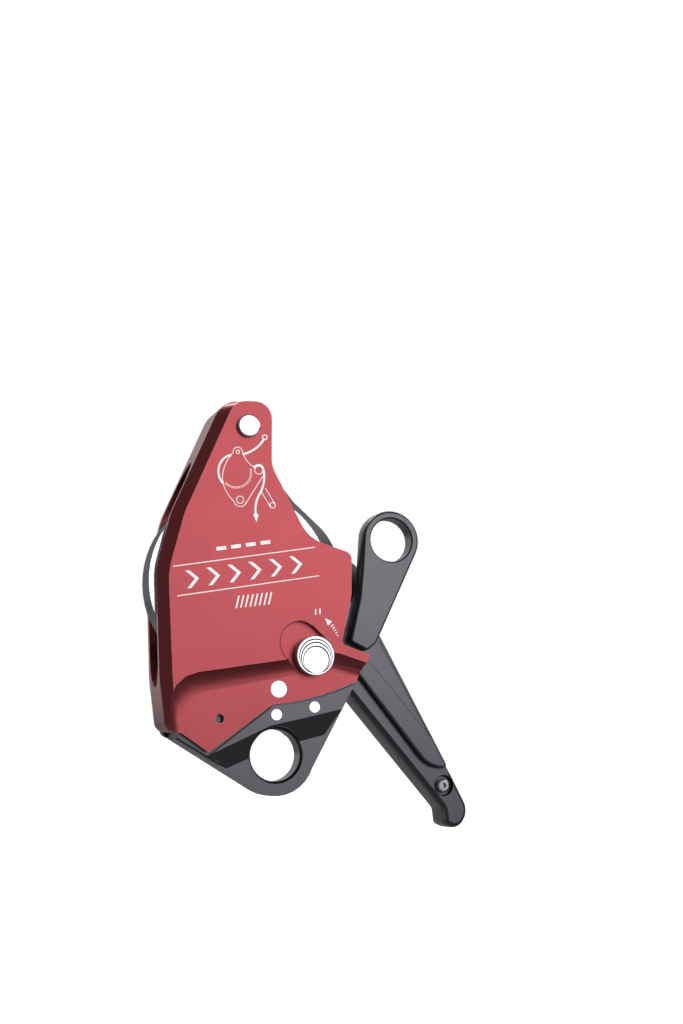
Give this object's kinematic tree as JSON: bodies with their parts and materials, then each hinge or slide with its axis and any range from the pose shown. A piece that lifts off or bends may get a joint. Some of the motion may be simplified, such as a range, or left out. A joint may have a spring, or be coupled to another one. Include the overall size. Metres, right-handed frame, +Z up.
{
  "type": "rope descender with a ratcheting sheave",
  "caption": "Handheld rope clutch: red swing cover over a ratcheting braked sheave, black anchor body with attachment eye and ring arm, release handle behind.",
  "frame": {"origin": "centre of the whole device's bounding box with every joint at rest", "axes": "+Z up towards the top pin, -Y out of the red front cover, +X towards the ring arm; every hinge runs along Y"},
  "size_m": [0.1162, 0.0426, 0.1638],
  "materials": {
    "red_anodised": "satin red anodised",
    "black_anodised": "satin black anodised",
    "polished_steel": "polished stainless steel",
    "dark_steel": "machined steel",
    "bronze": "plain bronze bearing washer"
  },
  "bodies": {
    "base": {"anchor_body": "black_anodised", "back_plate": "black_anodised", "back_screw_left": "polished_steel", "back_screw_middle": "polished_steel", "back_screw_right": "polished_steel", "brake_shoe": "dark_steel", "eye_rivet_left": "polished_steel", "eye_rivet_right": "polished_steel", "top_pin": "polished_steel", "top_spacer": "dark_steel"},
    "cover": {"front_cover": "red_anodised", "lower_stud": "polished_steel"},
    "latch": {"latch_button": "polished_steel", "latch_foot": "dark_steel"},
    "carrier": {"sheave_carrier": "dark_steel", "pawl_hub": "dark_steel", "sheave_axle": "polished_steel", "pawl_pin_upper": "polished_steel", "pawl_pin_lower": "polished_steel"},
    "sheave_set": {"sheave": "polished_steel", "ratchet_ring": "dark_steel"},
    "upper_pawl": {"pawl_upper": "polished_steel"},
    "lower_pawl": {"pawl_lower": "polished_steel"},
    "handle": {"handle_arm": "black_anodised", "handle_axle": "polished_steel", "release_cam": "polished_steel", "handle_washer": "bronze", "handle_leaf": "black_anodised", "handle_screw": "polished_steel"}
  },
  "joints": [
    {"name": "cover_swing", "type": "hinge", "parent": "base", "child": "cover", "pos_m": [-0.01604, -0.0071, 0.07175], "axis": [0, 1, 0], "range_deg": [0, 100]},
    {"name": "latch_slide", "type": "slide", "parent": "cover", "child": "latch", "axis": [-0.6428, 0, 0.766], "range_m": [0, 0.005]},
    {"name": "handle_turn", "type": "hinge", "parent": "base", "child": "handle", "pos_m": [0.01426, 0.0059, 0.00335], "axis": [0, -1, 0], "range_deg": [0, 60]},
    {"name": "carrier_swing", "type": "hinge", "parent": "base", "child": "carrier", "pos_m": [-0.01604, 0.0001, 0.07175], "axis": [0, 1, 0], "range_deg": [0, 1.5]},
    {"name": "sheave_spin", "type": "hinge", "parent": "carrier", "child": "sheave_set", "pos_m": [-0.02423, -0.0071, 0.01735], "axis": [0, 1, 0], "continuous": true},
    {"name": "upper_pawl_pivot", "type": "hinge", "parent": "carrier", "child": "upper_pawl", "pos_m": [-0.02102, -0.0071, 0.02618], "axis": [0, -1, 0], "range_deg": [-4, 5]},
    {"name": "lower_pawl_pivot", "type": "hinge", "parent": "carrier", "child": "lower_pawl", "pos_m": [-0.02745, -0.0071, 0.00852], "axis": [0, -1, 0], "range_deg": [-4, 5]}
  ],
  "couplings": [
    {"joint": "carrier_swing", "follows": "handle_turn", "ratio": 0.025}
  ]
}
